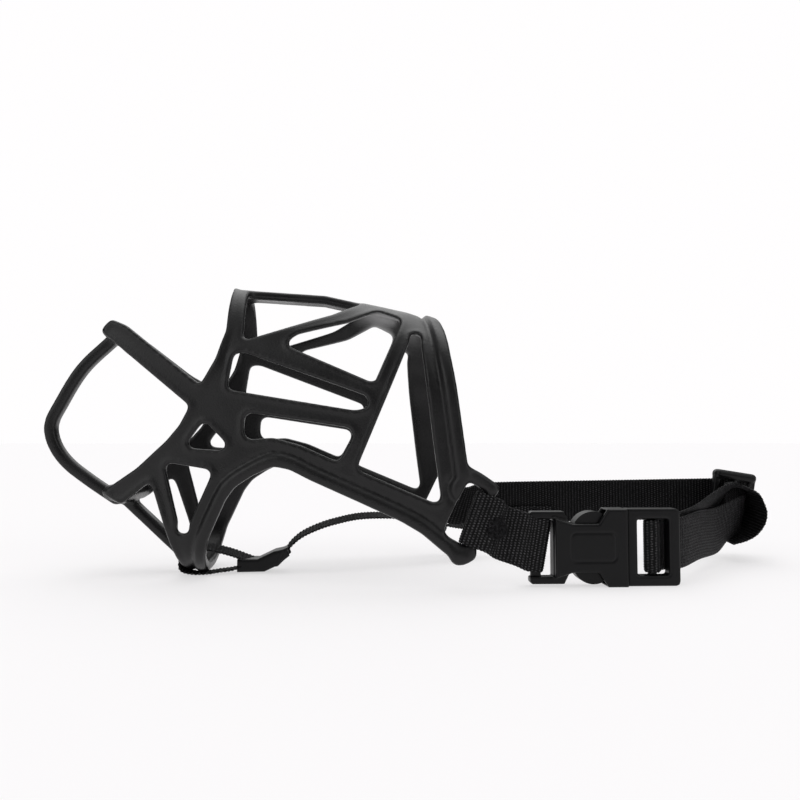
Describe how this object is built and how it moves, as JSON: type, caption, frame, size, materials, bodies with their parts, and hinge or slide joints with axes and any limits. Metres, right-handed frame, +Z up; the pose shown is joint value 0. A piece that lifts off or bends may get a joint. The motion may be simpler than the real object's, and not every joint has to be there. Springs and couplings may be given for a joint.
{
  "type": "basket muzzle",
  "caption": "Soft rubber basket muzzle for a dog, with an open lattice snout cage, a webbing neck strap with a side-release buckle and slider, and a narrow chin strap.",
  "frame": {"origin": "middle of the footprint on the floor, on the basket's mirror plane", "axes": "+X from the nose end to the tail of the neck strap, +Y away from the side with the buckle, +Z up, as it lies on a floor"},
  "size_m": [0.4085, 0.117, 0.15],
  "materials": {
    "rubber": "satin black moulded rubber with a fine grain",
    "webbing": "black woven nylon webbing with cross ribs",
    "plastic": "satin black acetal plastic",
    "thread": "black polyester thread"
  },
  "bodies": {
    "basket": {"basket": "rubber", "chin_strap_front": "webbing"},
    "strap": {"buckle_strap": "webbing", "buckle_strap_stitching": "thread", "buckle_socket": "plastic", "neck_strap_far": "webbing", "neck_strap_stitching": "thread", "chin_strap_rear": "webbing", "chin_strap_stitching": "thread"},
    "plug": {"buckle_plug": "plastic", "neck_strap_lead": "webbing"},
    "upper_prong": {"upper_prong": "plastic"},
    "lower_prong": {"lower_prong": "plastic"},
    "slider": {"strap_slider": "plastic", "neck_strap_turn": "webbing", "neck_strap_end": "webbing"},
    "chin_slider": {"chin_strap_slider": "plastic"}
  },
  "joints": [
    {"name": "strap_swing", "type": "hinge", "parent": "basket", "child": "strap", "pos_m": [0.015, 0, 0.031], "axis": [0, -1, 0], "range_deg": [0, 12]},
    {"name": "buckle_release", "type": "slide", "parent": "strap", "child": "plug", "axis": [1, 0, 0], "range_m": [0, 0.03]},
    {"name": "upper_prong_press", "type": "hinge", "parent": "plug", "child": "upper_prong", "pos_m": [0.0825, -0.049, 0.0302], "axis": [0, 1, 0], "range_deg": [-8, 0], "stiffness_Nm_per_rad": 0.5},
    {"name": "lower_prong_press", "type": "hinge", "parent": "plug", "child": "lower_prong", "pos_m": [0.0825, -0.049, 0.0062], "axis": [0, 1, 0], "range_deg": [0, 8], "stiffness_Nm_per_rad": 0.5},
    {"name": "slider_adjust", "type": "slide", "parent": "plug", "child": "slider", "axis": [1, 0, 0], "range_m": [-0.012, 0.01]},
    {"name": "chin_slider_adjust", "type": "slide", "parent": "basket", "child": "chin_slider", "axis": [0.9781, 0, 0.2079], "range_m": [-0.001, 0.004]}
  ]
}
